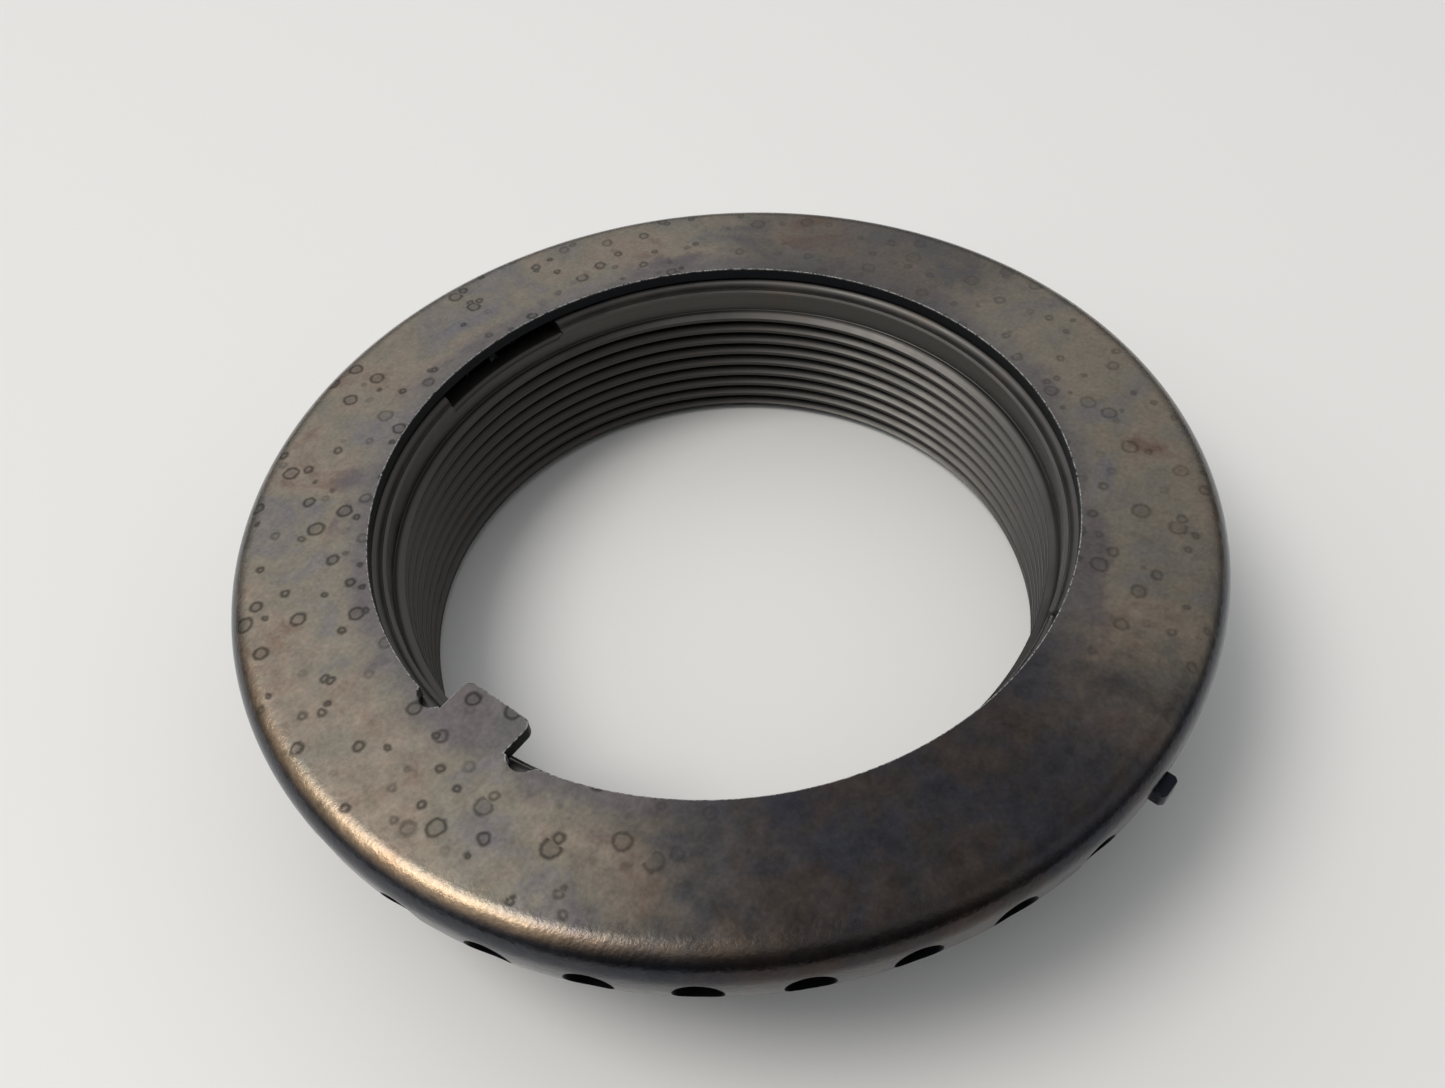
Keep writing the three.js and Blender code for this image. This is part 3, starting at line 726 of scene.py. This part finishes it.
nut = {
    "threadPitch": 25.4 / 12, "threadMajor": 41.275, "threadTurns": 12, "crestBreak": 0.07, "rootBreak": 0.08,
    "landRadius": 41.4, "landDepth": 6.4, "landChamfer": 0.4, "mouthRadius": 43.0, "mouthRound": 1.2,
    "driveChamfer": 1.4, "acrossFlats": 95.25, "firstFlat": 85, "cornerHeight": 3.2, "cornerRound": 0.35,
    "flangeBottom": 16.6, "seatRadius": 55.9, "seatTop": 17.7, "slopeTop": (57.0, 18.6), "flangeRound": 1.8,
    "flangeRoundAt": 20.2, "boreSteps": 240, "boreRings": (14, 8, 4),
    "pocketWidth": 20.4, "pocketIn": 43.9, "pocketOut": 53.0, "pocketFloor": 19.2,
    "lipDrop": 1.8, "lipRound": 0.7, "slotWidth": 5.6, "slotIn": 45.1, "slotBottom": 5.4,
}
fingerAngles = {"a": 85, "b": 265}       # degrees round from +X
threadMinor = nut["threadMajor"] - 0.5413 * nut["threadPitch"]


def turnedBlank():
    n = nut
    landBottom = top - n["landDepth"]
    flat = n["acrossFlats"] / 2
    corner = flat / math.cos(math.pi / 8) + 0.3
    bottom, seat, bend = n["flangeBottom"], n["seatRadius"], n["flangeRound"]
    mouthCentre = (n["mouthRadius"], nutTop - n["mouthRound"])
    drive = [(threadMinor, n["driveChamfer"]), (threadMinor + n["driveChamfer"], 0), (flat - 0.5, 0),
             (flat - 0.1, 0.15), (corner, n["cornerHeight"]), (corner, bottom - 0.4), (corner + 0.4, bottom)]
    flange = ([(seat - 0.3, bottom), (seat, bottom + 0.3), (seat, n["seatTop"]),
               (seat + 0.2, n["seatTop"] + 0.25), n["slopeTop"]]
              + arcPoints((flangeRadius - bend, n["flangeRoundAt"]), bend, -35, 0, 4)
              + [(flangeRadius, nutTop - 0.5), (flangeRadius - 0.15, nutTop - 0.15), (flangeRadius - 0.5, nutTop)])
    bore = (arcPoints(mouthCentre, n["mouthRound"], 90, 180, 8)
            + [(n["landRadius"], mouthCentre[1] - 0.15), (n["landRadius"], landBottom + 0.1),
               (n["landRadius"] - 0.1, landBottom), (threadMinor, landBottom - n["landChamfer"])]
            + [(threadMinor, z) for z in n["boreRings"]])
    blank = profileLine("nutBlank", drive + flange + bore + drive[:1])
    spinRound(blank, n["boreSteps"])
    return blank


def flatsTool():
    # a ring with an octagon through it mills the eight flats
    n = nut
    corner = n["acrossFlats"] / 2 / math.cos(math.pi / 8)
    deselectAll()
    bpy.ops.mesh.primitive_cylinder_add(vertices=8, radius=corner * mm, depth=40 * mm,
                                        rotation=(0, 0, math.radians(n["firstFlat"] - 90 + 22.5)))
    octagon = bpy.context.object
    bpy.ops.object.transform_apply()
    selectEdges(octagon, lambda a, b: abs(a.z - b.z) > 1)
    bpy.ops.mesh.bevel(offset=n["cornerRound"] * mm, segments=3, affect="EDGES")
    stopEdit()
    tool = rod("flatsTool", 70, (0, 0, -5), (0, 0, n["flangeBottom"]), 64)
    combine(tool, octagon)
    return tool


def threadTool():
    # a V bar wound up the bore as a right-hand helix, its lips set to break the crests
    n = nut
    major, pitch, turns, lip = n["threadMajor"], n["threadPitch"], n["threadTurns"], n["crestBreak"]
    rootHalf = pitch / 16
    half = rootHalf + (major - threadMinor) * math.tan(math.radians(30))
    start = top - n["landDepth"] - (turns - 1) * pitch
    upper = [(major, rootHalf - 0.06), (major - n["rootBreak"], rootHalf + 0.05),
             (threadMinor + lip, half - lip * 0.1), (threadMinor, half + lip), (threadMinor - 0.5, half + lip)]
    section = [(r, -z) for r, z in reversed(upper)] + upper
    bar = drawLine("threadTool", [(r, 0, z + start) for r, z in section + section[:1]])
    applyModifier(bar, "SCREW", {"axis": "Z", "angle": 2 * math.pi * turns, "screw_offset": pitch * turns * mm,
                                 "steps": n["boreSteps"] * turns, "render_steps": n["boreSteps"] * turns,
                                 "use_merge_vertices": False})
    capEnds(bar)
    return bar


def pocketTools(angle):
    # the finger's pocket, the lowered lip on its bore side and the slot for its tail
    n = nut
    wide, narrow, high = n["pocketWidth"] / 2, n["slotWidth"] / 2, nutTop + 5
    cuts = [block("pocketCut", (n["pocketIn"], -wide, n["pocketFloor"]), (n["pocketOut"], wide, high)),
            block("lipCut", (threadMinor - 5, -wide, nutTop - n["lipDrop"]), (n["pocketIn"] + 2, wide, high)),
            block("slotCut", (n["slotIn"], -narrow, n["slotBottom"]), (flangeRadius + 5, narrow, high))]
    for cut in cuts:
        cut.rotation_euler.z = math.radians(angle)
        activate(cut)
        bpy.ops.object.transform_apply()
    return cuts


def makeNut():
    n = nut
    blank = turnedBlank()
    combine(blank, flatsTool())
    combine(blank, threadTool())
    for angle in fingerAngles.values():
        for cut in pocketTools(angle):
            combine(blank, cut)
    closeSeams(blank)
    lipTop = nutTop - n["lipDrop"]
    onLip = lambda p: abs(p.z - lipTop) < 0.01 and math.hypot(p.x, p.y) < n["landRadius"] + 0.6
    selectEdges(blank, lambda a, b: onLip(a) and onLip(b))
    bpy.ops.mesh.bevel(offset=n["lipRound"] * mm, segments=4, affect="EDGES")
    stopEdit()
    blank.name = "threadedNut"
    finishShading(blank, 28)
    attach(blank, "nut")
    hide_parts("nut_body")
    return blank


threadedNut = makeNut()
setMaterial(threadedNut, makeTurnedSteel())
print("nut turned and threaded,", len(threadedNut.data.polygons), "faces")

# Lock fingers

finger = {
    "tipRadius": 60.7, "tipWidth": 3.0, "tipBottom": 18.6, "tipHeight": 2.0, "tipBevel": 0.4, "barOut": 57.2,
    "barWidth": 5.0, "headWidth": 17, "headIn": 50.2, "headOut": 52.7, "headBottom": 19.5, "headTop": 23.2,
    "tailIn": 48.8, "tailOut": 50.8, "tailBottom": 6.0, "rampTop": 10.5, "foot": 0.6,
    "pegRadius": 0.85, "pegLength": 2.0, "springOffset": 5.6, "round": 0.2,
}


def makeFinger():
    # the finger lies along +X and is turned into its pocket afterwards
    f = finger
    half, tip = f["tipWidth"] / 2, f["tipRadius"]
    side = [(f["tailIn"], f["tailBottom"]), (f["tailIn"] + f["foot"], f["tailBottom"]),
            (f["tailOut"], f["rampTop"]), (f["tailOut"], f["tipBottom"]), (f["barOut"], f["tipBottom"]),
            (f["barOut"], f["headTop"]), (f["tailIn"], f["headTop"])]
    width = f["barWidth"]
    body = solidOfOutline("lockFinger", [(x, -width / 2, z) for x, z in side], (0, width, 0))
    combine(body, block("fingerHead", (f["headIn"], -f["headWidth"] / 2, f["headBottom"]),
                        (f["headOut"], f["headWidth"] / 2, f["headTop"])), "UNION")
    nose = block("fingerNose", (f["barOut"] - 1.6, -half, f["tipBottom"]),
                 (tip, half, f["tipBottom"] + f["tipHeight"]))
    selectEdges(nose, lambda a, b: a.x > tip - 0.1 and b.x > tip - 0.1 and abs(a.z - b.z) > 1)
    bpy.ops.mesh.bevel(offset=f["tipBevel"] * mm, segments=1, affect="EDGES")
    stopEdit()
    combine(body, nose, "UNION")
    middle = (f["headTop"] + f["headBottom"]) / 2
    for side in (-1, 1):
        y = side * f["springOffset"]
        peg = rod("springPeg", f["pegRadius"], (f["headIn"] - f["pegLength"], y, middle),
                  (f["headIn"] + 0.3, y, middle), 20)
        combine(body, peg, "UNION")
    applyModifier(body, "BEVEL", {"width": f["round"] * mm, "segments": 3, "limit_method": "ANGLE",
                                  "angle_limit": math.radians(40), "use_clamp_overlap": True})
    finishShading(body)
    return body


bluedLockSteel = makeBluedSteel()
patternFinger = makeFinger()
for letter, angle in fingerAngles.items():
    lockFinger = turnedCopy(patternFinger, "lockFinger_" + letter, angle)
    setMaterial(lockFinger, bluedLockSteel)
    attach(lockFinger, "finger_" + letter)
    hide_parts("lock_finger_" + letter)
bpy.data.objects.remove(patternFinger)
print("lock fingers made")

# Finger springs

spring = {
    "outside": 3.2, "wire": 0.45, "turns": 4.5, "start": 44.2, "end": 49.9, "sideways": 5.6, "height": 21.35,
    "wireSides": 10, "stepsPerTurn": 24, "kept": 0.4,
}


def makeSpring(name, sideways, angle):
    s = spring
    coil = (s["outside"] - s["wire"]) / 2
    deselectAll()
    bpy.ops.mesh.primitive_circle_add(vertices=s["wireSides"], radius=s["wire"] / 2 * mm,
                                      location=Vector((s["start"] + s["wire"] / 2, coil, 0)) * mm)
    wire = bpy.context.object
    wire.name = name
    bpy.ops.object.transform_apply()
    steps = round(s["turns"] * s["stepsPerTurn"])
    applyModifier(wire, "SCREW", {"axis": "X", "angle": 2 * math.pi * s["turns"],
                                  "screw_offset": (s["end"] - s["start"] - s["wire"]) * mm, "steps": steps,
                                  "render_steps": steps, "use_merge_vertices": False})
    capEnds(wire)
    wire.location = Vector((0, sideways, s["height"])) * mm
    activate(wire)
    bpy.ops.object.transform_apply()
    wire.rotation_euler.z = math.radians(angle)
    bpy.ops.object.transform_apply()
    finishShading(wire, 50)
    return wire


drawnSpringWire = makeSpringWire()
for letter, angle in fingerAngles.items():
    for number, side in ((1, -1), (2, 1)):
        fingerSpring = makeSpring(f"fingerSpring_{letter}{number}", side * spring["sideways"], angle)
        setMaterial(fingerSpring, drawnSpringWire)
        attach(fingerSpring, "nut")
        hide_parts(f"finger_spring_{letter}{number}")
        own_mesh(fingerSpring)
print("springs wound")

# Studio

studio = {
    "tableSize": 4.0, "table": "#eeeeeb", "tableRoughness": 0.5,
    "air": "#f4f5f8", "brightSide": (205, 25), "brightest": 1.34, "dimmest": 0.7,  # azimuth, elevation
    "horizonShade": 0.1, "horizonTop": 0.8,
    "cards": [  # azimuth, elevation, where the shade begins and is full in degrees from there, shade
        (62, 71, 42, 12, 0.35),
        (311, 15, 62, 25, 0.12),
    ],
    "lights": [  # name, azimuth, elevation, distance and size in metres, watts, colour
        ("leftWindow", 219, 60, 2.0, 1.0, 15, "#fffaf4"),
    ],
}


def makeAir():
    # the room: bright on the window's side, dim opposite, with dark cards where the steel shows them
    s = studio
    world = bpy.data.worlds.new("studioAir")
    bpy.context.scene.world = world
    world.use_nodes = True
    tree = world.node_tree
    tree.nodes.clear()
    coords = addNode(tree, "TexCoord")
    way = coords.outputs["Generated"]
    side = addNode(tree, "VectorMath", {"operation": "DOT_PRODUCT"}, {0: way, 1: towards(*s["brightSide"])})
    light = addNode(tree, "MapRange", {"interpolation_type": "SMOOTHSTEP"},
                    {0: side.outputs["Value"], 1: -0.8, 2: 0.8, 3: s["dimmest"], 4: s["brightest"]})
    rise = addNode(tree, "SeparateXYZ", None, {0: way})
    low = addNode(tree, "MapRange", {"interpolation_type": "SMOOTHSTEP"},
                  {0: rise.outputs[2], 1: 0.02, 2: s["horizonTop"], 3: s["horizonShade"], 4: 1.0})
    strength = addNode(tree, "Math", {"operation": "MULTIPLY"}, {0: light.outputs[0], 1: low.outputs[0]})
    for azimuth, elevation, edge, heart, shade in s["cards"]:
        card = addNode(tree, "VectorMath", {"operation": "DOT_PRODUCT"},
                       {0: way, 1: towards(azimuth, elevation)})
        dark = addNode(tree, "MapRange", {"interpolation_type": "SMOOTHSTEP"},
                       {0: card.outputs["Value"], 1: cosine(edge), 2: cosine(heart), 3: 1.0, 4: shade})
        strength = addNode(tree, "Math", {"operation": "MULTIPLY"}, {0: strength.outputs[0], 1: dark.outputs[0]})
    background = addNode(tree, "Background", None, {0: linear(s["air"]), 1: strength.outputs[0]})
    output = addNode(tree, "OutputWorld")
    tree.links.new(background.outputs[0], output.inputs[0])


def makeStudio():
    s = studio
    deselectAll()
    bpy.ops.mesh.primitive_plane_add(size=s["tableSize"], location=(0, 0, 0))
    table = bpy.context.object
    table.name = "studioTable"
    material, tree, shader = newMaterial("matteWhiteTable")  # a plain pale sheet that takes soft shadows
    shader.inputs["Base Color"].default_value = linear(s["table"])
    shader.inputs["Roughness"].default_value = s["tableRoughness"]
    setMaterial(table, material)
    for name, azimuth, elevation, distance, size, watts, colour in s["lights"]:
        place = towards(azimuth, elevation) * distance
        deselectAll()
        bpy.ops.object.light_add(type="AREA", location=place)
        light = bpy.context.object
        light.name = name
        light.rotation_euler = place.to_track_quat("Z", "Y").to_euler()
        light.data.shape = "DISK"
        light.data.size = size
        light.data.energy = watts
        light.data.color = linear(colour)[:3]
    makeAir()
    bpy.context.scene.view_settings.view_transform = "Standard"


makeStudio()
print("studio lit")

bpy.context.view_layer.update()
deselectAll()
